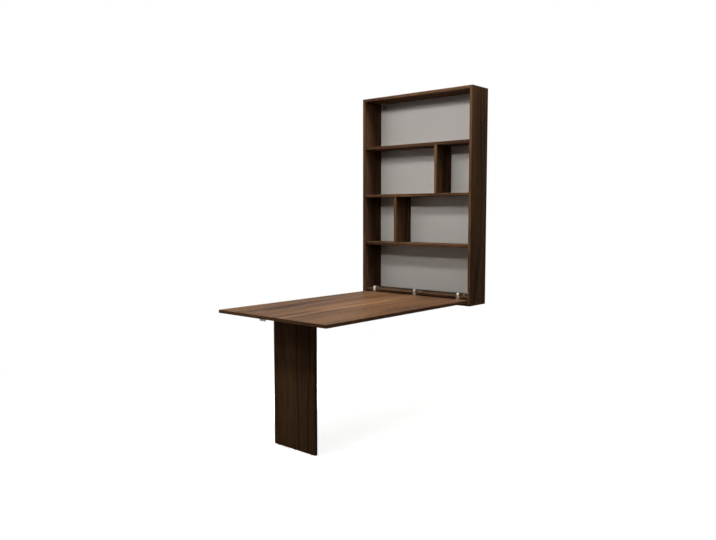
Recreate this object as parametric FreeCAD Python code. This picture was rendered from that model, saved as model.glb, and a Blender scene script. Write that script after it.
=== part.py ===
import FreeCAD, Part
import math
import os

# Wall mounted drop leaf table: a shallow shelf cabinet whose front folds down into a table
# with one folding leg. All sizes are in millimetres. X runs across the cabinet, Y runs into
# the wall, whose face is y = 0, and Z runs up. Places are worked out with heights above the
# floor. The solids are written with the centre of the four wall fixings as their origin.

# Overall sizes
cabinet_width = 870.0
cabinet_height = 1350.0
cabinet_depth = 183.0
table_height = 760.0          # top face of the open table above the floor
board_thickness = 18.0        # side panels, top, bottom, shelves and dividers
table_thickness = 18.0
leg_thickness = 18.0
leg_width = 320.0
leg_inset = 181.0             # free end of the table to the front face of the leg
closed_proud = 9.0            # closed table in front of the cabinet's front edges
back_thickness = 6.0
divider_offset = 162.0        # cabinet centre line to the middle of each divider
edge_radius = 1.2             # eased front edges of the boards

# Clearances
side_gap = 2.0                # table to each side panel
top_gap = 2.0                 # closed table to the top board
shelf_gap = 1.0               # closed table to the front edges of the shelves
slot_gap = 2.0                # open table to the underside of the inner shelf
turning_gap = 1.0             # rear edge of the table to the bottom board once it has turned
panel_gap = 0.5               # back panel to the edge of its rebate
running_clearance = 0.05      # radial, pin in a turning knuckle
fixed_clearance = 0.02        # radial, pin, screw or dowel in the piece that holds it
knuckle_gap = 0.3             # between the knuckles of a hinge, along the pin
let_in_gap = 0.2              # round a plate that is let into a board

# Back panel and dowels
rebate_lap = 9.0
back_screw_steps = (0.06, 0.28, 0.5, 0.72, 0.94)   # shares of the height of the shelf space
dowel_radius = 4.0
dowel_length = 30.0
dowel_in_face = 12.0          # part of the dowel that is in the face of a board
dowel_end_room = 0.5
dowel_chamfer = 1.0
dowel_setback = 35.0          # dowels from the front and back edges of a board

# Table hinges: a bent strap on the inner shelf and a leaf let into the table
hinge_inset = 95.0            # side of the cabinet to the middle of an outer hinge
pin_rise = 9.0                # pin axis above the top face of the open table
hinge_pin_radius = 2.5
hinge_knuckle_radius = 6.0
strap_width = 16.0
strap_thickness = 2.5
strap_rise = 18.0             # inner shelf to the middle of the arm's thickness
strap_arm_length = 30.0       # upright to the rear corner of the arm, before it is bent
strap_slope = 60.0            # degrees, from the arm down to the foot
strap_bend_radius = 5.0
strap_cheek_thickness = 2.0   # side plates under the arm
strap_foot_end = 90.0         # wall to the end of the foot
strap_screw_steps = (10.0, 27.0)     # from the end of the foot
leaf_width = 30.0
leaf_length = 35.0
leaf_thickness = 2.0
leaf_screw_steps = (13.0, 27.0)      # from the pin
plate_corner_radius = 5.0     # rounded corners of the strap's foot and of the leaf
pin_head_radius = 4.0
pin_head_length = 1.0
notch_gap = 1.0               # round the hinge, in the front edge of the inner shelf

# Leg hinges: plain butt hinges
leg_hinge_inset = 55.0        # side of the leg to the middle of a hinge
butt_width = 50.0
butt_leaf_length = 30.0
butt_thickness = 2.0
butt_pin_offset = 4.0         # pin axis from both boards
butt_knuckle_radius = 3.6
butt_middle_width = 18.0
butt_pin_radius = 1.5
butt_notch_gap = 0.5
butt_screw_places = ((-16.0, 13.0), (0.0, 22.0), (16.0, 13.0))   # across, and from the pin

# Leg foot and leg buffers
glide_height = 3.0
glide_radius = 8.0
glide_edge_radius = 0.75
glide_inset = 30.0            # side of the leg to the middle of an outer glide
glide_nail_radius = 1.2
glide_nail_length = 12.0
buffer_radius = 10.0
buffer_tip_radius = 8.0
buffer_well_radius = 4.5
buffer_inset = 60.0           # side of the leg to the middle of a buffer
buffer_from_foot = 48.0      # buffers from the foot end of the folded leg
buffer_play = 0.2
buffer_screw_sink = 4.0

# Finger pull under the free end of the table
pull_offset = -54.0           # middle of the pull from the centre line
pull_screw_spacing = 32.0
pull_screw_setback = 16.0     # from the lip
pull_corner_radius = 6.0
pull_width = 48.0
pull_thickness = 2.0
pull_flange_length = 26.0
pull_lip_height = 11.0
pull_inset = 7.0              # free end of the table to the lip
pull_bend_radius = 2.5

# Magnet catches let into the front edge of the upper shelf, with strike discs in the table
catch_inset = 40.0            # side of the table to the middle of a catch
strike_radius = 7.0
strike_thickness = 1.5
case_radius = 5.5
case_length = 16.0            # the part of the case that is in the shelf
case_end_room = 0.5
collar_radius = 7.0
magnet_radius = 4.0
magnet_length = 12.0
magnet_play = 0.2             # collar and magnet to the strike disc of the closed table

# Wall brackets: steel angles under the top board and under the lower shelf
bracket_leg = 40.0
bracket_width = 30.0
bracket_thickness = 3.0
bracket_bend_radius = 4.5
bracket_inset = 35.0          # inner face of a side panel to the middle of a bracket
wall_hole_radius = 3.25
wall_hole_drop = 25.0         # underside of the board to the wall hole
bracket_screw_steps = (15.0, 30.0)

# Countersunk screws: shank radius, length, head radius
panel_screw = (1.5, 14.0, 3.0)
small_screw = (1.75, 14.0, 3.5)
foot_screw = (2.0, 15.0, 4.0)
strike_screw = (1.2, 12.0, 2.4)
drive_slot_width = 0.8
drive_slot_depth = 0.8
drive_slot_reach = 0.7        # share of the head's radius
hole_mouth = 1.0              # a screw hole is cut this far past its surface

# Worked out from the sizes above
half_width = cabinet_width / 2
inner_half = half_width - board_thickness
cabinet_front = -cabinet_depth
table_under = table_height - table_thickness
cabinet_bottom = table_under - board_thickness
cabinet_top = cabinet_bottom + cabinet_height
top_under = cabinet_top - board_thickness
inner_shelf_under = table_height + slot_gap
inner_shelf_top = inner_shelf_under + board_thickness
closed_inner = cabinet_front - closed_proud + table_thickness
shelf_front = closed_inner + shelf_gap
shelf_back = -back_thickness
shelf_count = 3
tier_height = (top_under - inner_shelf_top - shelf_count * board_thickness) / (shelf_count + 1)
lower_under = inner_shelf_top + tier_height
middle_under = lower_under + board_thickness + tier_height
upper_under = middle_under + board_thickness + tier_height

# The pin lies as far behind the inner face of the closed table as it lies above the top
# face of the open one, because they are one face. That face passes the lower front edge
# of the inner shelf as it turns, so that edge has a round that the pin is nearly the
# centre of.
pin_y = closed_inner + pin_rise
pin_z = table_height + pin_rise
shelf_nose_radius = min(pin_y - shelf_front, pin_z - inner_shelf_under)
front_reach = top_under - top_gap - pin_z
rear_reach = pin_z - table_under - turning_gap
table_half = inner_half - side_gap
table_end = pin_y - front_reach
hinge_offset = half_width - hinge_inset

leg_hinge_offset = leg_width / 2 - leg_hinge_inset
glide_spacing = leg_width / 2 - glide_inset
buffer_spacing = leg_width / 2 - buffer_inset
leg_front = table_end + leg_inset
leg_back = leg_front + leg_thickness
butt_y = leg_back + butt_pin_offset
butt_z = table_under - butt_pin_offset
leg_length = table_under - glide_height

bracket_x = inner_half - bracket_inset
upper_hole_z = top_under - wall_hole_drop
lower_hole_z = lower_under - wall_hole_drop
origin_height = (upper_hole_z + lower_hole_z) / 2

solids = {}


def vector(x, y, z):
    return FreeCAD.Vector(x, y, z)


def block(x0, x1, y0, y1, z0, z1):
    return Part.makeBox(x1 - x0, y1 - y0, z1 - z0, vector(x0, y0, z0))


def rod(radius, start, direction, length):
    return Part.makeCylinder(radius, length, start, direction)


def bar_along_x(radius, y, z, x0, x1):
    return rod(radius, vector(x0, y, z), vector(1, 0, 0), x1 - x0)


def ease(solid, radius, chosen):
    """Rounds the straight edges whose middle and direction pass the test."""
    edges = []
    for edge in solid.Edges:
        middle = edge.CenterOfMass
        along = edge.Vertexes[-1].Point - edge.Vertexes[0].Point
        if chosen(middle, along):
            edges.append(edge)
    return solid.makeFillet(radius, edges)


def near(a, b):
    return abs(a - b) < 0.01


def bent_strip(corners, radii, thickness, x0, x1):
    """A strip of even thickness in the YZ plane, bent at its inner corners, from x0 to x1."""
    points = [vector(x0, y, z) for y, z in corners]
    runs = [(b - a).normalize() for a, b in zip(points, points[1:])]
    across = [vector(1, 0, 0).cross(run) for run in runs]
    ends = [points[0]]
    for i, radius in enumerate(radii):
        turn = runs[i].getAngle(runs[i + 1])
        back = radius * math.tan(turn / 2)
        ends.append(points[i + 1] - runs[i] * back)
        ends.append(points[i + 1] + runs[i + 1] * back)
    ends.append(points[-1])

    def side(offset):
        edges = []
        for i in range(len(runs)):
            start = ends[2 * i] + across[i] * offset
            stop = ends[2 * i + 1] + across[i] * offset
            edges.append(Part.makeLine(start, stop))
            if i < len(radii):
                bend = (runs[i + 1] - runs[i]).normalize()
                half_turn = runs[i].getAngle(runs[i + 1]) / 2
                centre = points[i + 1] + bend * (radii[i] / math.cos(half_turn))
                outward = 1 if across[i].dot(centre - stop) < 0 else -1
                middle = centre - bend * (radii[i] + outward * offset)
                after = ends[2 * i + 2] + across[i + 1] * offset
                edges.append(Part.Arc(stop, middle, after).toShape())
        return edges

    left = side(thickness / 2)
    right = side(-thickness / 2)
    cap_a = Part.makeLine(left[0].Vertexes[0].Point, right[0].Vertexes[0].Point)
    cap_b = Part.makeLine(left[-1].Vertexes[-1].Point, right[-1].Vertexes[-1].Point)
    outline = Part.Wire(Part.__sortEdges__(left + right + [cap_a, cap_b]))
    return Part.Face(outline).extrude(vector(x1 - x0, 0, 0))


def screw_shape(size, grow=0.0, mouth=0.0):
    """A countersunk screw that points down from the origin, or with grow its hole."""
    shank, length, head = size
    cone_depth = head - shank
    tip = 2 * shank
    body = Part.makeCone(head + grow, shank + grow, cone_depth, vector(0, 0, 0), vector(0, 0, -1))
    straight = length - cone_depth - tip
    body = body.fuse(rod(shank + grow, vector(0, 0, -cone_depth), vector(0, 0, -1), straight))
    point = Part.makeCone(shank + grow, shank / 4 + grow, tip + grow,
                          vector(0, 0, tip - length), vector(0, 0, -1))
    body = body.fuse(point)
    if mouth:
        return body.fuse(rod(head + grow, vector(0, 0, 0), vector(0, 0, 1), mouth))
    reach = drive_slot_reach * head
    half = drive_slot_width / 2
    for slot in (block(-reach, reach, -half, half, -drive_slot_depth, 1),
                 block(-half, half, -reach, reach, -drive_slot_depth, 1)):
        body = body.cut(slot)
    return body.removeSplitter()


def aimed(shape, point, direction):
    """Turns a shape that points down so that it points in the direction from the point."""
    turn = FreeCAD.Rotation(vector(0, 0, -1), direction)
    moved = shape.copy()
    moved.Placement = FreeCAD.Placement(point, turn)
    return moved


def drive_screws(node, size, places, held):
    """Screws in one node, and their holes in the pieces that they pass through."""
    screws = []
    for point, direction, pieces in places:
        screws.append(aimed(screw_shape(size), point, direction))
        hole = aimed(screw_shape(size, fixed_clearance, hole_mouth), point, direction)
        for piece in pieces:
            held[piece] = held[piece].cut(hole)
    held[node] = Part.makeCompound(screws)


def side_panel(side):
    near_x, far_x = sorted((side * inner_half, side * half_width))
    panel = block(near_x, far_x, cabinet_front, 0, cabinet_bottom, cabinet_top)
    return ease(panel, edge_radius, lambda middle, along: near(middle.y, cabinet_front)
                and near(along.x, 0) and near(along.y, 0))


def full_depth_board(z0):
    board = block(-inner_half, inner_half, cabinet_front, 0, z0, z0 + board_thickness)
    return ease(board, edge_radius, lambda middle, along: near(middle.y, cabinet_front)
                and near(along.y, 0) and near(along.z, 0))


def shelf(z0, lower_radius=edge_radius):
    board = block(-inner_half, inner_half, shelf_front, shelf_back, z0, z0 + board_thickness)
    for radius, z in ((edge_radius, z0 + board_thickness), (lower_radius, z0)):
        board = ease(board, radius, lambda middle, along: near(middle.y, shelf_front)
                     and near(middle.z, z))
    return board


def divider(x, z0):
    half = board_thickness / 2
    board = block(x - half, x + half, shelf_front, shelf_back, z0, z0 + tier_height)
    return ease(board, edge_radius, lambda middle, along: near(middle.y, shelf_front)
                and near(along.x, 0) and near(along.y, 0))


def back_space(gap):
    """The room for the back panel, smaller than its rebate by the gap all round."""
    half = inner_half + rebate_lap - gap
    z0 = cabinet_bottom + board_thickness - rebate_lap + gap
    z1 = top_under + rebate_lap - gap
    return block(-half, half, -back_thickness, 0, z0, z1)


def make_carcass():
    solids["side_panel_left"] = side_panel(-1)
    solids["side_panel_right"] = side_panel(1)
    solids["top_board"] = full_depth_board(top_under)
    solids["bottom_board"] = full_depth_board(cabinet_bottom)
    for name in ("side_panel_left", "side_panel_right", "top_board", "bottom_board"):
        solids[name] = solids[name].cut(back_space(0.0))
    solids["back_panel"] = back_space(panel_gap)
    solids["inner_shelf"] = shelf(inner_shelf_under, shelf_nose_radius)
    solids["shelf_lower"] = shelf(lower_under)
    solids["shelf_middle"] = shelf(middle_under)
    solids["shelf_upper"] = shelf(upper_under)
    solids["divider_lower"] = divider(-divider_offset, lower_under + board_thickness)
    solids["divider_upper"] = divider(divider_offset, middle_under + board_thickness)


def dowel(point, direction):
    """A dowel across the joint at the point; the direction runs into the end of a board."""
    start = point - direction * dowel_in_face
    peg = rod(dowel_radius, start, direction, dowel_length)
    return peg.makeChamfer(dowel_chamfer, [edge for edge in peg.Edges if edge.Closed])


def dowel_hole(point, direction):
    start = point - direction * (dowel_in_face + dowel_end_room)
    return rod(dowel_radius + fixed_clearance, start, direction, dowel_length + 2 * dowel_end_room)


def peg_joint(face_piece, end_piece, point, direction):
    hole = dowel_hole(point, direction)
    for piece in (face_piece, end_piece):
        solids[piece] = solids[piece].cut(hole)
    return dowel(point, direction)


def make_dowels():
    levels = {"bottom_board": (cabinet_bottom, cabinet_front),
              "inner_shelf": (inner_shelf_under, shelf_front),
              "shelf_lower": (lower_under, shelf_front),
              "shelf_middle": (middle_under, shelf_front),
              "shelf_upper": (upper_under, shelf_front),
              "top_board": (top_under, cabinet_front)}
    pegs = []
    for name, (z0, front) in levels.items():
        for side, panel in ((-1, "side_panel_left"), (1, "side_panel_right")):
            for y in (front + dowel_setback, shelf_back - dowel_setback):
                point = vector(side * inner_half, y, z0 + board_thickness / 2)
                pegs.append(peg_joint(panel, name, point, vector(-side, 0, 0)))
    solids["panel_dowels"] = Part.makeCompound(pegs)

    pegs = []
    for name, x, below, z0, above in (
            ("divider_lower", -divider_offset, "shelf_lower", lower_under, "shelf_middle"),
            ("divider_upper", divider_offset, "shelf_middle", middle_under, "shelf_upper")):
        foot = z0 + board_thickness
        for y in (shelf_front + dowel_setback, shelf_back - dowel_setback):
            pegs.append(peg_joint(below, name, vector(x, y, foot), vector(0, 0, 1)))
            pegs.append(peg_joint(above, name, vector(x, y, foot + tier_height), vector(0, 0, -1)))
    solids["divider_dowels"] = Part.makeCompound(pegs)


def make_back_screws():
    """Screws through the back panel into the rebates and the back edges of the shelves."""
    into = vector(0, -1, 0)
    lap_x = inner_half + rebate_lap / 2
    span = top_under - inner_shelf_top
    places = []
    for side, panel in ((-1, "side_panel_left"), (1, "side_panel_right")):
        for step in back_screw_steps:
            point = vector(side * lap_x, 0, inner_shelf_top + step * span)
            places.append((point, into, ("back_panel", panel)))
    rows = (("bottom_board", cabinet_bottom + board_thickness - rebate_lap / 2),
            ("inner_shelf", inner_shelf_under + board_thickness / 2),
            ("shelf_lower", lower_under + board_thickness / 2),
            ("shelf_middle", middle_under + board_thickness / 2),
            ("shelf_upper", upper_under + board_thickness / 2),
            ("top_board", top_under + rebate_lap / 2))
    for name, z in rows:
        for x in (-inner_half / 2, inner_half / 2):
            places.append((vector(x, 0, z), into, ("back_panel", name)))
    drive_screws("back_panel_screws", panel_screw, places, solids)


def wall_bracket(x, under):
    """A steel angle under a board, with its wall hole in the leg that hangs down."""
    half = bracket_thickness / 2
    back = shelf_back - half
    corners = ((shelf_back - bracket_leg, under - half),
               (back, under - half),
               (back, under - bracket_leg))
    return bent_strip(corners, (bracket_bend_radius - half,), bracket_thickness,
                      x - bracket_width / 2, x + bracket_width / 2)


def make_wall_brackets():
    places = []
    for level, under, board in (("upper", top_under, "top_board"),
                                ("lower", lower_under, "shelf_lower")):
        for side, word in ((-1, "left"), (1, "right")):
            name = "wall_bracket_%s_%s" % (level, word)
            x = side * bracket_x
            solids[name] = wall_bracket(x, under)
            hole = rod(wall_hole_radius, vector(x, hole_mouth, under - wall_hole_drop),
                       vector(0, -1, 0), back_thickness + bracket_thickness + 2 * hole_mouth)
            for piece in (name, "back_panel"):
                solids[piece] = solids[piece].cut(hole)
            for step in bracket_screw_steps:
                point = vector(x, shelf_back - step, under - bracket_thickness)
                places.append((point, vector(0, 0, 1), (name, board)))
    drive_screws("bracket_screws", foot_screw, places, solids)


def table_top():
    """The flap. Its rear edge is a round whose centre is one turning gap under the pin, so it
    lies on the bottom board when the table is open and lifts clear of it as the table turns."""
    round_z = table_under + rear_reach
    sink = round_z - table_height
    meet_y = pin_y + math.sqrt(rear_reach ** 2 - sink ** 2)
    middle_angle = (-math.pi / 2 + math.atan2(-sink, meet_y - pin_y)) / 2
    middle = vector(-table_half, pin_y + rear_reach * math.cos(middle_angle),
                    round_z + rear_reach * math.sin(middle_angle))
    front_low = vector(-table_half, table_end, table_under)
    front_high = vector(-table_half, table_end, table_height)
    rear_low = vector(-table_half, pin_y, table_under)
    rear_high = vector(-table_half, meet_y, table_height)
    outline = Part.Wire([Part.makeLine(front_high, front_low), Part.makeLine(front_low, rear_low),
                         Part.Arc(rear_low, middle, rear_high).toShape(),
                         Part.makeLine(rear_high, front_high)])
    flap = Part.Face(outline).extrude(vector(2 * table_half, 0, 0))
    flap = ease(flap, edge_radius, lambda middle, along: near(middle.y, table_end)
                and near(along.y, 0) and near(along.z, 0))
    return flap


def strap_cheek(corners, x0):
    """A side plate under the arm of a strap, down to the middle of its foot's thickness."""
    upright, front, rear, low = corners[:4]
    points = [(upright[0], low[1]), front, rear, low, (upright[0], low[1])]
    outline = Part.makePolygon([vector(x0, y, z) for y, z in points])
    cheek = Part.Face(outline).extrude(vector(strap_cheek_thickness, 0, 0))
    return ease(cheek, strap_bend_radius, lambda middle, along: near(middle.z, front[1])
                and near(along.y, 0))


def hinge_strap(x):
    """The fixed half: up in front of the inner shelf, over its edge and down to its foot."""
    half = strap_thickness / 2
    front_line = pin_y - hinge_knuckle_radius + half
    foot_z = inner_shelf_top + half
    arm_z = inner_shelf_top + strap_rise
    arm_end = front_line + strap_arm_length
    slope_run = (arm_z - foot_z) / math.tan(math.radians(strap_slope))
    corners = ((front_line, pin_z), (front_line, arm_z), (arm_end, arm_z),
               (arm_end + slope_run, foot_z), (-strap_foot_end, foot_z))
    x0 = x - strap_width / 2
    x1 = x + strap_width / 2
    strap = bent_strip(corners, (strap_bend_radius,) * 3, strap_thickness, x0, x1)
    strap = ease(strap, plate_corner_radius, lambda middle, along: near(middle.y, -strap_foot_end)
                 and near(along.x, 0) and near(along.y, 0))
    for cheek_x in (x0, x1 - strap_cheek_thickness):
        strap = strap.fuse(strap_cheek(corners, cheek_x))
    strap = strap.fuse(bar_along_x(hinge_knuckle_radius, pin_y, pin_z, x0, x1)).removeSplitter()
    return strap.cut(bar_along_x(hinge_pin_radius + running_clearance, pin_y, pin_z, x0, x1))


def hinge_leaf(x):
    """The moving half: a plate let into the table, with a knuckle at each side of the strap."""
    half = leaf_width / 2
    plate_z = table_height - leaf_thickness
    plate_y = pin_y - leaf_length
    leaf = block(x - half, x + half, plate_y, pin_y, plate_z, table_height)
    leaf = ease(leaf, plate_corner_radius, lambda middle, along: near(middle.y, plate_y)
                and near(along.x, 0) and near(along.y, 0))
    inside = strap_width / 2 + knuckle_gap
    for x0, x1 in ((x - half, x - inside), (x + inside, x + half)):
        leaf = leaf.fuse(block(x0, x1, pin_y - hinge_knuckle_radius, pin_y, plate_z, pin_z))
        leaf = leaf.fuse(bar_along_x(hinge_knuckle_radius, pin_y, pin_z, x0, x1))
    return leaf.cut(bar_along_x(hinge_pin_radius + fixed_clearance, pin_y, pin_z,
                                x - half, x + half)).removeSplitter()


def leaf_pocket(x):
    half = leaf_width / 2 + let_in_gap
    end_y = pin_y - leaf_length - let_in_gap
    pocket = block(x - half, x + half, end_y, pin_y + let_in_gap,
                   table_height - leaf_thickness, table_height + hole_mouth)
    return ease(pocket, plate_corner_radius + let_in_gap, lambda middle, along:
                near(middle.y, end_y) and near(along.x, 0) and near(along.y, 0))


def hinge_pin(x):
    half = leaf_width / 2
    pin = bar_along_x(hinge_pin_radius, pin_y, pin_z, x - half, x + half)
    for x0, x1 in ((x - half - pin_head_length, x - half), (x + half, x + half + pin_head_length)):
        pin = pin.fuse(bar_along_x(pin_head_radius, pin_y, pin_z, x0, x1))
    return pin


def strap_notch(x):
    half = leaf_width / 2 + pin_head_length + notch_gap
    notch_back = pin_y + hinge_knuckle_radius + notch_gap
    return block(x - half, x + half, shelf_front - hole_mouth, notch_back,
                 inner_shelf_under - hole_mouth, inner_shelf_top + hole_mouth)


def make_table_hinges():
    foot_places = []
    leaf_places = []
    down = vector(0, 0, -1)
    for word, x in (("left", -hinge_offset), ("middle", 0.0), ("right", hinge_offset)):
        solids["hinge_strap_" + word] = hinge_strap(x)
        solids["hinge_leaf_" + word] = hinge_leaf(x)
        solids["hinge_pin_" + word] = hinge_pin(x)
        solids["inner_shelf"] = solids["inner_shelf"].cut(strap_notch(x))
        solids["table_top"] = solids["table_top"].cut(leaf_pocket(x))
        for step in strap_screw_steps:
            point = vector(x, -strap_foot_end - step, inner_shelf_top + strap_thickness)
            foot_places.append((point, down, ("hinge_strap_" + word, "inner_shelf")))
        for side in (-1, 1):
            for step in leaf_screw_steps:
                point = vector(x + side * leaf_width / 4, pin_y - step, table_height)
                leaf_places.append((point, down, ("hinge_leaf_" + word, "table_top")))
    drive_screws("hinge_strap_screws", foot_screw, foot_places, solids)
    drive_screws("hinge_leaf_screws", small_screw, leaf_places, solids)


def leg_board():
    half = leg_width / 2
    board = block(-half, half, leg_front, leg_back, glide_height, table_under)
    return ease(board, edge_radius, lambda middle, along: near(along.x, 0) and near(along.y, 0))


def knuckle_spans(x):
    middle = butt_middle_width / 2
    outer = butt_width / 2
    inside = middle + knuckle_gap
    return [(x - middle, x + middle)], [(x - outer, x - inside), (x + inside, x + outer)]


def butt_leaf_on_table(x, spans):
    outer = butt_width / 2
    clear = butt_knuckle_radius + butt_notch_gap
    z0 = table_under - butt_thickness
    leaf = block(x - outer, x + outer, butt_y + clear, butt_y + butt_leaf_length, z0, table_under)
    for x0, x1 in spans:
        leaf = leaf.fuse(block(x0, x1, butt_y, butt_y + clear, z0, table_under))
        leaf = leaf.fuse(bar_along_x(butt_knuckle_radius, butt_y, butt_z, x0, x1))
    bore = bar_along_x(butt_pin_radius + fixed_clearance, butt_y, butt_z, x - outer, x + outer)
    return leaf.cut(bore).removeSplitter()


def butt_leaf_on_leg(x, spans):
    outer = butt_width / 2
    clear = butt_knuckle_radius + butt_notch_gap
    y1 = leg_back + butt_thickness
    leaf = block(x - outer, x + outer, leg_back, y1, butt_z - butt_leaf_length, butt_z - clear)
    for x0, x1 in spans:
        leaf = leaf.fuse(block(x0, x1, leg_back, y1, butt_z - clear, butt_z))
        leaf = leaf.fuse(bar_along_x(butt_knuckle_radius, butt_y, butt_z, x0, x1))
    bore = bar_along_x(butt_pin_radius + running_clearance, butt_y, butt_z, x - outer, x + outer)
    return leaf.cut(bore).removeSplitter()


def make_leg_hinges():
    table_places = []
    leg_places = []
    for word, x in (("left", -leg_hinge_offset), ("right", leg_hinge_offset)):
        middle_spans, outer_spans = knuckle_spans(x)
        solids["leg_hinge_table_leaf_" + word] = butt_leaf_on_table(x, outer_spans)
        solids["leg_hinge_leg_leaf_" + word] = butt_leaf_on_leg(x, middle_spans)
        solids["leg_hinge_pin_" + word] = bar_along_x(butt_pin_radius, butt_y, butt_z,
                                                      x - butt_width / 2, x + butt_width / 2)
        for across, away in butt_screw_places:
            table_point = vector(x + across, butt_y + away, table_under - butt_thickness)
            table_places.append((table_point, vector(0, 0, 1),
                                 ("leg_hinge_table_leaf_" + word, "table_top")))
            leg_point = vector(x + across, leg_back + butt_thickness, butt_z - away)
            leg_places.append((leg_point, vector(0, -1, 0),
                               ("leg_hinge_leg_leaf_" + word, "leg_board")))
    drive_screws("leg_hinge_table_screws", small_screw, table_places, solids)
    drive_screws("leg_hinge_leg_screws", small_screw, leg_places, solids)


def glide_nail(x, grow=0.0):
    y = leg_back - leg_thickness / 2
    return rod(glide_nail_radius + grow, vector(x, y, glide_height), vector(0, 0, 1),
               glide_nail_length + grow)


def glide(x):
    """A disc under the leg, with a nail up into the leg's end."""
    y = leg_back - leg_thickness / 2
    disc = rod(glide_radius, vector(x, y, 0), vector(0, 0, 1), glide_height)
    disc = ease(disc, glide_edge_radius, lambda middle, along: near(middle.z, 0))
    return disc.fuse(glide_nail(x))


def make_glides():
    glides = []
    for x in (-glide_spacing, 0.0, glide_spacing):
        solids["leg_board"] = solids["leg_board"].cut(glide_nail(x, fixed_clearance))
        glides.append(glide(x))
    solids["foot_glides"] = Part.makeCompound(glides)


def make_buffers():
    """Rubber buffers under the table that the folded leg lies against."""
    height = 2 * butt_pin_offset - buffer_play
    y = leg_back + leg_length - buffer_from_foot
    rubbers = []
    places = []
    for x in (-buffer_spacing, buffer_spacing):
        rubber = Part.makeCone(buffer_radius, buffer_tip_radius, height,
                               vector(x, y, table_under), vector(0, 0, -1))
        well = rod(buffer_well_radius, vector(x, y, table_under - height), vector(0, 0, 1),
                   buffer_screw_sink)
        rubbers.append(rubber.cut(well))
        point = vector(x, y, table_under - height + buffer_screw_sink)
        places.append((point, vector(0, 0, 1), ("leg_buffers", "table_top")))
    solids["leg_buffers"] = Part.makeCompound(rubbers)
    drive_screws("buffer_screws", small_screw, places, solids)


def make_finger_pull():
    half = pull_thickness / 2
    lip_y = table_end + pull_inset + half
    flange_z = table_under - half
    flange_end = lip_y + pull_flange_length
    corners = ((flange_end, flange_z), (lip_y, flange_z), (lip_y, table_under - pull_lip_height))
    x0 = pull_offset - pull_width / 2
    x1 = pull_offset + pull_width / 2
    pull = bent_strip(corners, (pull_bend_radius,), pull_thickness, x0, x1)
    pull = ease(pull, pull_corner_radius, lambda middle, along: near(middle.y, flange_end)
                and near(along.x, 0) and near(along.y, 0))
    solids["finger_pull"] = pull
    places = []
    for side in (-1, 1):
        point = vector(pull_offset + side * pull_screw_spacing / 2, lip_y + pull_screw_setback,
                       table_under - pull_thickness)
        places.append((point, vector(0, 0, 1), ("finger_pull", "table_top")))
    drive_screws("finger_pull_screws", small_screw, places, solids)


def make_catches():
    """Magnets in the front edge of the upper shelf, and the strike discs that meet them."""
    disc_places = []
    into = vector(0, 1, 0)
    catch_z = upper_under + board_thickness / 2
    strike_y = pin_y - (catch_z - pin_z)
    face_y = closed_inner + magnet_play
    for side, word in ((-1, "left"), (1, "right")):
        x = side * (table_half - catch_inset)
        low = vector(x, strike_y, table_height - strike_thickness)
        disc = rod(strike_radius, low, vector(0, 0, 1), strike_thickness)
        pocket = rod(strike_radius + let_in_gap, low, vector(0, 0, 1), strike_thickness + hole_mouth)
        solids["strike_disc_" + word] = disc
        solids["table_top"] = solids["table_top"].cut(pocket)
        disc_places.append((vector(x, strike_y, table_height), vector(0, 0, -1),
                            ("strike_disc_" + word, "table_top")))

        mouth = vector(x, shelf_front, catch_z)
        face = vector(x, face_y, catch_z)
        case = rod(case_radius, mouth, into, case_length)
        case = case.fuse(rod(collar_radius, face, into, shelf_front - face_y))
        seat = rod(magnet_radius + fixed_clearance, face, into, magnet_length)
        solids["catch_case_" + word] = case.cut(seat).removeSplitter()
        solids["catch_magnet_" + word] = rod(magnet_radius, face, into, magnet_length)
        bore = rod(case_radius + fixed_clearance, mouth, into, case_length + case_end_room)
        solids["shelf_upper"] = solids["shelf_upper"].cut(bore)
    drive_screws("strike_screws", strike_screw, disc_places, solids)


def write_all():
    os.makedirs("parts", exist_ok=True)
    for node, shape in solids.items():
        placed = shape.copy()
        placed.translate(vector(0, 0, -origin_height))
        placed.exportStep("parts/%s.step" % node)
        print(node, len(placed.Solids), placed.isValid(), round(placed.Volume / 1000, 2))


make_carcass()
make_dowels()
make_back_screws()
make_wall_brackets()
solids["table_top"] = table_top()
make_table_hinges()
solids["leg_board"] = leg_board()
make_leg_hinges()
make_glides()
make_buffers()
make_finger_pull()
make_catches()
write_all()
print("origin above the floor", origin_height, "table hinge axis", pin_y, pin_z - origin_height,
      "leg hinge axis", butt_y, butt_z - origin_height)
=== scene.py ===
import bpy
import math
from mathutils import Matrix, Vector


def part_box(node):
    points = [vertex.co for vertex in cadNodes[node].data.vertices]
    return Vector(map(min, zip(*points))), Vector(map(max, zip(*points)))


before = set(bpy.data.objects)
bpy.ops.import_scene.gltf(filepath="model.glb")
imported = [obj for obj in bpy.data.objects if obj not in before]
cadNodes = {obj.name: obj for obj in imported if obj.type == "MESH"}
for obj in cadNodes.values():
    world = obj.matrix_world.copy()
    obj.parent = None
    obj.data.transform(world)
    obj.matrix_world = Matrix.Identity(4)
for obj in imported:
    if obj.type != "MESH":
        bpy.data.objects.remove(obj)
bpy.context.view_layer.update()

# Row frame, in metres: X across the cabinet, Y into the wall (its face is y = 0), Z up.
axisNumber = {"x": 0, "y": 1, "z": 2}
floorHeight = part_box("foot_glides")[0].z
noiseMiddle = 0.5        # the values of a noise lie round this


def linear(value):
    share = value / 255
    return share / 12.92 if share <= 0.04045 else ((share + 0.055) / 1.055) ** 2.4


def tint(red, green, blue):
    # a colour from screen values, 0 to 255
    return (linear(red), linear(green), linear(blue), 1.0)


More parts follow.
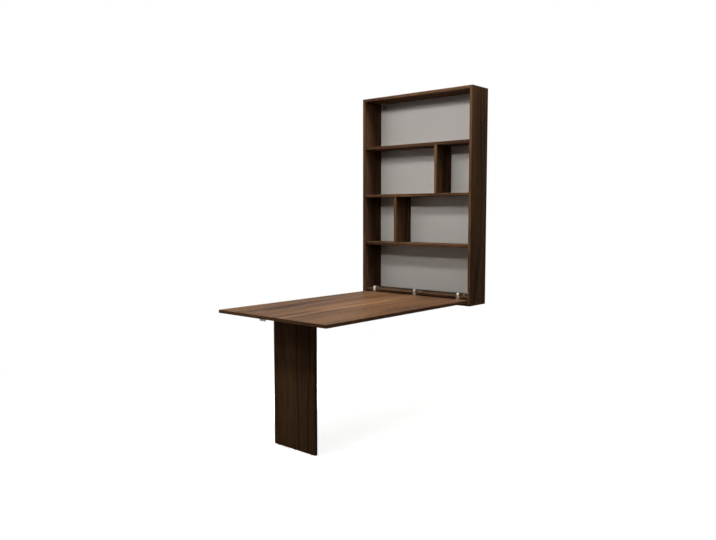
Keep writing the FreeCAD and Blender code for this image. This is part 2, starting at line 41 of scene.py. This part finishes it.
class Link:
    # one output of a shader node; sums and products of links add the nodes that they need
    def __init__(self, tree, socket=None):
        self.tree = tree
        self.socket = socket

    def node(self, kind, settings=None, values=None, output=0):
        made = self.tree.nodes.new(kind)
        for name, setting in (settings or {}).items():
            if name == "stops":
                fillRamp(made.color_ramp, setting)
            else:
                setattr(made, name, setting)
        for name, value in (values or {}).items():
            if isinstance(value, Link):
                self.tree.links.new(value.socket, made.inputs[name])
            else:
                made.inputs[name].default_value = value
        return Link(self.tree, made.outputs[output])

    def output(self, kind, shader):
        end = self.tree.nodes.new(kind)
        self.tree.links.new(shader.socket, end.inputs["Surface"])

    def other(self, name):
        # another output of the same node
        return Link(self.tree, self.socket.node.outputs[name])

    def work(self, operation, left, right):
        pair = [left, right]
        kinds = [side.socket.type for side in pair if isinstance(side, Link)]
        if kinds.count("VALUE") < len(kinds):        # a number fills all of a colour or vector
            pair = [(side,) * 3 if isinstance(side, float) else side for side in pair]
        if "RGBA" in kinds:                          # sockets 6 and 7 and output 2 are the colours
            pair = [side + (1.0,) if isinstance(side, tuple) and len(side) == 3 else side
                    for side in pair]
            return self.node("ShaderNodeMix", {"data_type": "RGBA", "blend_type": operation},
                             {0: 1.0, 6: pair[0], 7: pair[1]}, 2)
        kind = "ShaderNodeVectorMath" if "VECTOR" in kinds else "ShaderNodeMath"
        return self.node(kind, {"operation": operation}, {0: pair[0], 1: pair[1]})

    def __add__(self, value):
        return self.work("ADD", self, value)

    def __radd__(self, value):
        return self.work("ADD", value, self)

    def __sub__(self, value):
        return self.work("SUBTRACT", self, value)

    def __rsub__(self, value):
        return self.work("SUBTRACT", value, self)

    def __mul__(self, value):
        return self.work("MULTIPLY", self, value)

    def __rmul__(self, value):
        return self.work("MULTIPLY", value, self)

    def __gt__(self, value):
        return self.work("GREATER_THAN", self, value)

    def __lt__(self, value):
        return self.work("LESS_THAN", self, value)

    def __abs__(self):
        return self.node("ShaderNodeMath", {"operation": "ABSOLUTE"}, {0: self})

    def clamped(self):
        return self.node("ShaderNodeClamp", {}, {"Value": self})

    def noise(self, scale=1.0, detail=2.0, roughness=0.5):
        # cloudy values, at this position
        return self.node("ShaderNodeTexNoise", {}, {
            "Vector": self, "Scale": scale, "Detail": detail, "Roughness": roughness})

    def lines(self, scale, detail, roughness):
        # uneven bands along one number
        return self.node("ShaderNodeTexNoise", {"noise_dimensions": "1D"}, {
            "W": self, "Scale": scale, "Detail": detail, "Roughness": roughness})

    def blend(self, low, high):
        # a colour between two colours, by this factor
        return self.node("ShaderNodeMix", {"data_type": "RGBA"}, {0: self, 6: low, 7: high}, 2)


def fillRamp(ramp, stops):
    while len(ramp.elements) < len(stops):
        ramp.elements.new(1.0)
    for element, (place, colour) in zip(ramp.elements, stops):
        element.position = place
        element.color = colour


def newMaterial(name):
    material = bpy.data.materials.new(name)
    material.use_nodes = True
    material.node_tree.nodes.clear()
    return material, Link(material.node_tree)


def finishMaterial(start, sockets, height, depth, strength):
    # the surface shader, with a bump of this height, its depth in metres
    sockets["Normal"] = start.node("ShaderNodeBump", {}, {
        "Height": height, "Distance": depth, "Strength": strength})
    shader = start.node("ShaderNodeBsdfPrincipled", {}, sockets)
    start.output("ShaderNodeOutputMaterial", shader)


def objectPlace(start):
    return start.node("ShaderNodeTexCoord", {}, {}, "Object")


def split(vector):
    return vector.node("ShaderNodeSeparateXYZ", {}, {0: vector})


def dress(node, material):
    data = cadNodes[node].data
    data.materials.clear()
    data.materials.append(material)
    for face in data.polygons:
        face.material_index = 0


# Boards in a walnut decor, with banded edges
print("walnut boards")

walnut = {
    "stops": [(0.3, tint(30, 19, 13)), (0.42, tint(54, 37, 26)), (0.52, tint(80, 57, 39)),
              (0.63, tint(100, 74, 50)), (0.78, tint(120, 92, 64))],
    "middle": 0.5,                   # where the plain tone lies on these stops
    "growth": 0.26,                  # how strongly each layer lightens and darkens the wood
    "fibre": 0.26,
    "cloud": 0.41,
    # each scale is along the grain, across it and through the board
    "ringScale": 9.5,                # growth lines across the grain, before they wander and waver
    "lineScale": 3.6,
    "lineDetail": 3.0,
    "lineRoughness": 0.5,
    "wander": 3.8,
    "wanderScale": (0.55, 2.7, 2.7),
    "waver": 0.16,
    "waverScale": (6.0, 16.0, 16.0),
    "fibreScale": (13.0, 430.0, 430.0),
    "cloudScale": (0.9, 4.0, 4.0),
    "cloudShift": (9.0, 4.0, 1.0),
    "softDetail": 1.0,               # of the waver, the cloud and the pores
    "shiftStep": (1.7, 0.83, 2.9),   # each board takes its grain from another place
    "redder": tint(84, 50, 31),      # warm patches of the wood
    "redStart": 0.42,
    "redGain": 1.6,
    "redKeep": 0.55,                 # how much of the plain colour stays in them
    "poreScale": (60.0, 1500.0, 1500.0),
    "poreStart": 0.6,
    "poreGain": 9.0,
    "poreDark": 0.35,
    "poreRough": 0.2,
    "endLimit": 0.7,                 # how far a normal leans along the grain on an end face
    "faceLimit": 0.5,                # and through the board on its two large faces
    "bandWidth": 0.001,              # edge band of the board
    "seamWidth": 0.00013,
    "seamDark": 0.45,
    "roughness": 0.5,
    "growthGloss": 0.3,
    "specular": 0.005,               # a dry, satin decor
    "fibreHeight": 0.3,
    "bumpDepth": 0.0002,
    "bumpStrength": 0.25,
}

# The board and band tones are partly board-to-board variation and partly painted light and shade.
# node: (grain, across the face, through the board, banded edges, tone of the board, of its bands;
# both tones partly painted light and shade)
boards = {
    "side_panel_left": ("z", "y", "x", ("-y", "-z", "+z"), -0.02, -0.04),
    "side_panel_right": ("z", "y", "x", ("-y", "-z", "+z"), 0.03, 0.02),
    "top_board": ("x", "y", "z", ("-y",), 0.0, 0.0),
    "bottom_board": ("x", "y", "z", ("-y",), 0.0, 0.0),
    "inner_shelf": ("x", "y", "z", ("-y",), 0.02, 0.0),
    # the shelf front bands are darkened as painted shade, most on the upper shelf
    "shelf_lower": ("x", "y", "z", ("-y",), 0.0, -0.08),
    "shelf_middle": ("x", "y", "z", ("-y",), 0.0, -0.04),
    "shelf_upper": ("x", "y", "z", ("-y",), -0.02, -0.14),
    "divider_lower": ("z", "y", "x", ("-y",), 0.01, 0.0),
    "divider_upper": ("z", "y", "x", ("-y",), 0.0, 0.02),
    # the table's edge bands are lightened as painted light
    "table_top": ("y", "x", "z", ("-x", "+x", "-y"), 0.0, 0.1),
    "leg_board": ("z", "x", "y", ("-x", "+x", "-z"), 0.0, -0.02),
}


def edgeSeams(place, node, edges):
    # a hair line where each edge band meets the face
    low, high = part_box(node)
    seams = None
    for edge in edges:
        letter = edge[1]
        corner = (low if edge[0] == "-" else high)[axisNumber[letter]]
        distance = abs(place.other(letter.upper()) - corner)
        seam = place.node("ShaderNodeMath", {"operation": "COMPARE"}, {
            0: distance, 1: walnut["bandWidth"], 2: walnut["seamWidth"]})
        seams = seam if seams is None else (seams + seam).clamped()
    return seams


def walnutBoard(node, number, grain, face, depth, edges, boardToneAndPaintedLight, bandToneAndPaintedLight):
    material, start = newMaterial("walnut_" + node)
    corner = objectPlace(start)
    place = split(corner)
    facing = split(corner.other("Normal"))
    along = place.other(grain.upper())
    across = place.other(face.upper())
    through = place.other(depth.upper())

    # the band on an end face has its grain along that end
    end = abs(facing.other(grain.upper())) > walnut["endLimit"]
    swap = (across - along) * end
    grainPlace = start.node("ShaderNodeCombineXYZ", {}, {
        0: along + swap, 1: across - swap, 2: through})
    grainPlace = grainPlace + tuple(step * number for step in walnut["shiftStep"])
    sideways = split(grainPlace).other("Y")

    soft = walnut["softDetail"]
    wander = (grainPlace * walnut["wanderScale"]).noise()
    waver = (grainPlace * walnut["waverScale"]).noise(detail=soft)
    rings = sideways * walnut["ringScale"] + wander * walnut["wander"] + waver * walnut["waver"]
    growth = rings.lines(walnut["lineScale"], walnut["lineDetail"], walnut["lineRoughness"])
    fibre = (grainPlace * walnut["fibreScale"]).noise()
    cloud = (grainPlace * walnut["cloudScale"] + walnut["cloudShift"]).noise(detail=soft)
    pores = (grainPlace * walnut["poreScale"]).noise(detail=soft)
    pores = ((pores - walnut["poreStart"]) * walnut["poreGain"]).clamped()

    onFace = abs(facing.other(depth.upper())) > walnut["faceLimit"]
    # the board and band tones bring in painted light and shade along with the board's own tone
    tone = onFace * (boardToneAndPaintedLight - bandToneAndPaintedLight) + bandToneAndPaintedLight + walnut["middle"]
    for layer, share in ((growth, "growth"), (fibre, "fibre"), (cloud, "cloud")):
        tone = tone + (layer - noiseMiddle) * walnut[share]
    colour = tone.node("ShaderNodeValToRGB", {"stops": walnut["stops"]}, {"Fac": tone})
    warm = colour * walnut["redder"] + colour * walnut["redKeep"]
    colour = ((cloud - walnut["redStart"]) * walnut["redGain"]).clamped().blend(colour, warm)
    colour = colour * (1 - pores * walnut["poreDark"])
    colour = colour * (1 - edgeSeams(place, node, edges) * walnut["seamDark"])
    roughness = (1 - growth * walnut["growthGloss"]) * walnut["roughness"]
    finishMaterial(start, {
        "Base Color": colour,
        "Roughness": roughness + pores * walnut["poreRough"],
        "Specular IOR Level": walnut["specular"],
    }, fibre * walnut["fibreHeight"] - pores, walnut["bumpDepth"], walnut["bumpStrength"])
    return material


for number, (node, look) in enumerate(boards.items()):
    dress(node, walnutBoard(node, number, *look))

# Back panel: pale melamine in front, bare fibreboard behind
print("back panel")

backPanel = {
    "pale": tint(182, 178, 172),
    "paleDark": tint(172, 168, 162),
    "cloudScale": (3.0, 3.0, 2.0),
    "cloudDetail": 3.0,
    "cloudShare": 0.7,
    "gritScale": 900.0,
    "gritShare": 0.3,
    "gritRough": 0.1,
    "rearLimit": 0.5,                # how far a normal leans to the wall on the bare side
    "bare": tint(128, 96, 66),
    "bareDark": tint(98, 70, 46),
    "fluffScale": (90.0, 90.0, 90.0),
    "fluffDetail": 5.0,
    "fluffRoughness": 0.7,
    "fluffStart": 0.3,
    "fluffGain": 2.2,
    "roughness": 0.45,
    "rearRoughness": 0.35,           # added on the bare side
    "bumpDepth": 0.0004,
    "bumpStrength": 0.2,
}


def backPanelMaterial():
    material, start = newMaterial("back_panel_board")
    corner = objectPlace(start)
    rear = split(corner.other("Normal")).other("Y") > backPanel["rearLimit"]
    cloud = (corner * backPanel["cloudScale"]).noise(detail=backPanel["cloudDetail"])
    grit = corner.noise(backPanel["gritScale"])
    fluff = (corner * backPanel["fluffScale"]).noise(
        detail=backPanel["fluffDetail"], roughness=backPanel["fluffRoughness"])
    pale = cloud * backPanel["cloudShare"] + grit * backPanel["gritShare"]
    pale = pale.blend(backPanel["paleDark"], backPanel["pale"])
    bare = ((fluff - backPanel["fluffStart"]) * backPanel["fluffGain"]).clamped()
    bare = bare.blend(backPanel["bareDark"], backPanel["bare"])
    roughness = rear * backPanel["rearRoughness"] + grit * backPanel["gritRough"]
    height = grit * (1 - rear) * backPanel["gritShare"] + fluff * rear
    finishMaterial(start, {
        "Base Color": rear.blend(pale, bare),
        "Roughness": roughness + backPanel["roughness"],
    }, height, backPanel["bumpDepth"], backPanel["bumpStrength"])
    return material


dress("back_panel", backPanelMaterial())

# Fittings of metal, plastic and rubber, and the beech dowels
print("metal, plastic and rubber")

metals = {
    # name: (light, dark, roughness, how fine the marks are along X, Y and Z)
    "nickel_plate": (tint(226, 222, 214), tint(196, 191, 183), 0.16, (120.0, 1400.0, 1400.0)),
    "zinc_screw": (tint(205, 204, 196), tint(160, 158, 146), 0.26, (700.0, 700.0, 700.0)),
    "dull_nickel": (tint(158, 155, 150), tint(132, 129, 124), 0.3, (900.0, 900.0, 900.0)),
    "bronzed_steel": (tint(112, 92, 76), tint(84, 68, 56), 0.36, (700.0, 700.0, 700.0)),
}

metalWear = {
    "marksDetail": 3.0,
    "marksRoughness": 0.6,           # how jagged the marks are
    "marksDull": 0.1,                # how much the marks and the smears dull the metal
    "smearDull": 0.12,
    "smearScale": 60.0,
    "bumpDepth": 0.00006,
    "bumpStrength": 0.25,
}


def metalMaterial(name, light, dark, roughness, fineness):
    material, start = newMaterial(name)
    corner = objectPlace(start)
    marks = (corner * fineness).noise(
        detail=metalWear["marksDetail"], roughness=metalWear["marksRoughness"])
    smear = corner.noise(metalWear["smearScale"])
    dull = marks * metalWear["marksDull"] + smear * metalWear["smearDull"]
    finishMaterial(start, {
        "Base Color": marks.blend(dark, light),
        "Metallic": 1.0,
        "Roughness": dull + roughness,
    }, marks, metalWear["bumpDepth"], metalWear["bumpStrength"])
    return material


mouldings = {
    # name: (light, dark, roughness, how fine the pits are, how deep in metres)
    "bracket_powder_coat": (tint(158, 154, 148), tint(146, 142, 136), 0.42, 1500.0, 0.00008),
    "catch_case_plastic": (tint(52, 40, 32), tint(40, 31, 25), 0.42, 2200.0, 0.00003),
    "brown_lacquer": (tint(92, 68, 50), tint(78, 56, 41), 0.45, 1900.0, 0.00003),
    "magnet_ferrite": (tint(50, 48, 47), tint(37, 36, 36), 0.5, 2600.0, 0.00003),
    "buffer_rubber": (tint(38, 36, 35), tint(26, 25, 24), 0.68, 1800.0, 0.00004),
    "glide_plastic": (tint(64, 48, 38), tint(50, 38, 30), 0.45, 2000.0, 0.00003),
}

mouldedSkin = {
    "cloudScale": 45.0,
    "pitRough": 0.2,
    "specular": 0.15,
    "bumpStrength": 0.3,
}


def mouldedMaterial(name, light, dark, roughness, fineness, depth):
    material, start = newMaterial(name)
    corner = objectPlace(start)
    pits = corner.noise(fineness)
    cloud = corner.noise(mouldedSkin["cloudScale"])
    finishMaterial(start, {
        "Base Color": cloud.blend(dark, light),
        "Roughness": pits * mouldedSkin["pitRough"] + roughness,
        "Specular IOR Level": mouldedSkin["specular"],
    }, pits, depth, mouldedSkin["bumpStrength"])
    return material


beech = {
    "light": tint(222, 186, 142),
    "dark": tint(190, 148, 104),
    "fleckScale": (300.0, 900.0, 300.0),
    "fleckRough": 0.2,
    "roughness": 0.5,
    "bumpDepth": 0.0001,
    "bumpStrength": 0.2,
}


def beechMaterial(name):
    material, start = newMaterial(name)
    flecks = (objectPlace(start) * beech["fleckScale"]).noise()
    finishMaterial(start, {
        "Base Color": flecks.blend(beech["dark"], beech["light"]),
        "Roughness": flecks * beech["fleckRough"] + beech["roughness"],
    }, flecks, beech["bumpDepth"], beech["bumpStrength"])
    return material


finishes = {
    # the first of these words in a node's name gives its finish
    "strike": "brown_lacquer",
    "screws": "zinc_screw",
    "leg_hinge": "dull_nickel",
    "hinge_strap": "nickel_plate",
    "hinge_leaf": "bronzed_steel",
    "hinge_pin": "dull_nickel",
    "finger_pull": "dull_nickel",
    "wall_bracket": "bracket_powder_coat",
    "catch_case": "catch_case_plastic",
    "catch_magnet": "magnet_ferrite",
    "leg_buffers": "buffer_rubber",
    "foot_glides": "glide_plastic",
    "dowels": "beech_dowel",
}

fittings = {name: metalMaterial(name, *look) for name, look in metals.items()}
fittings.update({name: mouldedMaterial(name, *look) for name, look in mouldings.items()})
fittings["beech_dowel"] = beechMaterial("beech_dowel")
for node in cadNodes:
    if node not in boards and node != "back_panel":
        dress(node, fittings[next(finishes[word] for word in finishes if word in node)])

# Room, lamps and camera
print("room, lamps and camera")

room = {
    "size": 60.0,
    "middle": (0.0, -0.75, 0.0),     # of the lit part of the floor
    "colour": tint(226, 224, 220),
    "bounceColour": tint(138, 136, 134),
    "whiteShare": 0.8,               # glow of the floor as the camera sees it
    "fadeStart": 1.6,                # the floor turns plain white from here outwards
    "fadeEnd": 3.2,
    "sky": 0.12,                     # light of the room on the object
}


def placed(name, data):
    made = bpy.data.objects.new(name, data)
    bpy.context.scene.collection.objects.link(made)
    return made


def faceAlong(made, direction):
    made.rotation_mode = "QUATERNION"
    made.rotation_quaternion = direction.to_track_quat("-Z", "Y")


def seenDirectly(start):
    # 1 for the camera and for what metal and glass show, 0 for light on the object
    seen = start.node("ShaderNodeLightPath", {}, {}, "Is Camera Ray")
    return (seen + seen.other("Is Glossy Ray") + seen.other("Is Transmission Ray")).clamped()


def makeFloor():
    half = room["size"] / 2
    data = bpy.data.meshes.new("floor")
    data.from_pydata([(-half, -half, floorHeight), (half, -half, floorHeight),
                      (half, half, floorHeight), (-half, half, floorHeight)], [], [(0, 1, 2, 3)])
    floor = placed("floor", data)
    material, start = newMaterial("floor_white")
    flat = objectPlace(start) * (1.0, 1.0, 0.0) - room["middle"]
    away = start.node("ShaderNodeVectorMath", {"operation": "LENGTH"}, {0: flat}, "Value")
    fade = (away - room["fadeStart"]) * (1 / (room["fadeEnd"] - room["fadeStart"]))
    lit = start.node("ShaderNodeBsdfDiffuse", {}, {"Color": room["colour"]})
    glow = start.node("ShaderNodeEmission", {}, {"Strength": room["whiteShare"]})
    near = start.node("ShaderNodeAddShader", {}, {0: lit, 1: glow})
    plain = start.node("ShaderNodeEmission", {}, {"Strength": 1.0})
    visible = start.node("ShaderNodeMixShader", {}, {0: fade.clamped(), 1: near, 2: plain})
    bounce = start.node("ShaderNodeBsdfDiffuse", {}, {"Color": room["bounceColour"]})
    surface = start.node("ShaderNodeMixShader", {}, {
        0: seenDirectly(start), 1: bounce, 2: visible})
    start.output("ShaderNodeOutputMaterial", surface)
    data.materials.append(material)


def makeSky():
    world = bpy.data.worlds.new("studio")
    bpy.context.scene.world = world
    world.use_nodes = True
    world.node_tree.nodes.clear()
    start = Link(world.node_tree)
    glow = start.node("ShaderNodeBackground", {}, {
        "Color": (1.0, 1.0, 1.0, 1.0),
        "Strength": seenDirectly(start) * (1 - room["sky"]) + room["sky"]})
    start.output("ShaderNodeOutputWorld", glow)


lamps = {
    # name: (place, aim, width and height in metres, watts, spread in degrees)
    "upperLamp": ((-0.3, -1.83, 1.08), (-0.3, -0.1, -1.0), (3.0, 0.07), 26.3, 180),
    "farLamp": ((0.05, -3.6, 1.26), (0.0, -0.1, -0.2), (0.13, 0.13), 3.5, 52),
    "legLamp": ((-0.4, -2.6, 1.17), (-0.06, -1.3, -1.25), (0.3, 0.3), 1.6, 50),
    "tableLamp": ((0.15, -0.76, 2.2), (0.15, -0.68, -0.8), (1.2, 1.2), 42.0, 80),
    "rightLamp": ((1.2, -0.5, 1.3), (0.4, -0.1, 0.3), (0.5, 0.5), 10.0, 180),
    "leftLamp": ((-2.6, -0.6, 1.6), (-0.4, -0.1, 0.2), (1.0, 1.0), 11.0, 180),
    "sideLamp": ((-2.6, -0.1, -1.0), (-0.4, -0.1, 0.0), (1.0, 1.0), 20.0, 70),
    "backLamp": ((0.0, 2.6, 0.1), (0.0, 0.0, -0.1), (1.0, 1.0), 24.0, 180),
}


def makeLamp(name, place, aim, size, watts, spread):
    data = bpy.data.lights.new(name, "AREA")
    data.shape = "ELLIPSE"
    data.size, data.size_y = size
    data.energy = watts
    data.spread = math.radians(spread)
    lamp = placed(name, data)
    lamp.location = place
    faceAlong(lamp, Vector(aim) - Vector(place))


camera = {
    "place": (2.7256, -3.8727, -0.2454),
    "yaw": -0.7153,                  # from +Y, to the right, in radians
    "pitch": -0.0813,
    "lens": 35.1,
    "sensor": 36.0,
}


def makeCamera():
    data = bpy.data.cameras.new("camera")
    data.sensor_width = camera["sensor"]
    data.lens = camera["lens"]
    made = placed("camera", data)
    made.location = camera["place"]
    yaw, pitch = camera["yaw"], camera["pitch"]
    level = math.cos(pitch)
    faceAlong(made, Vector((math.sin(yaw) * level, math.cos(yaw) * level, math.sin(pitch))))
    bpy.context.scene.camera = made


makeFloor()
makeSky()
for name, settings in lamps.items():
    makeLamp(name, *settings)
makeCamera()
bpy.context.scene.view_settings.view_transform = "Standard"

print("done")
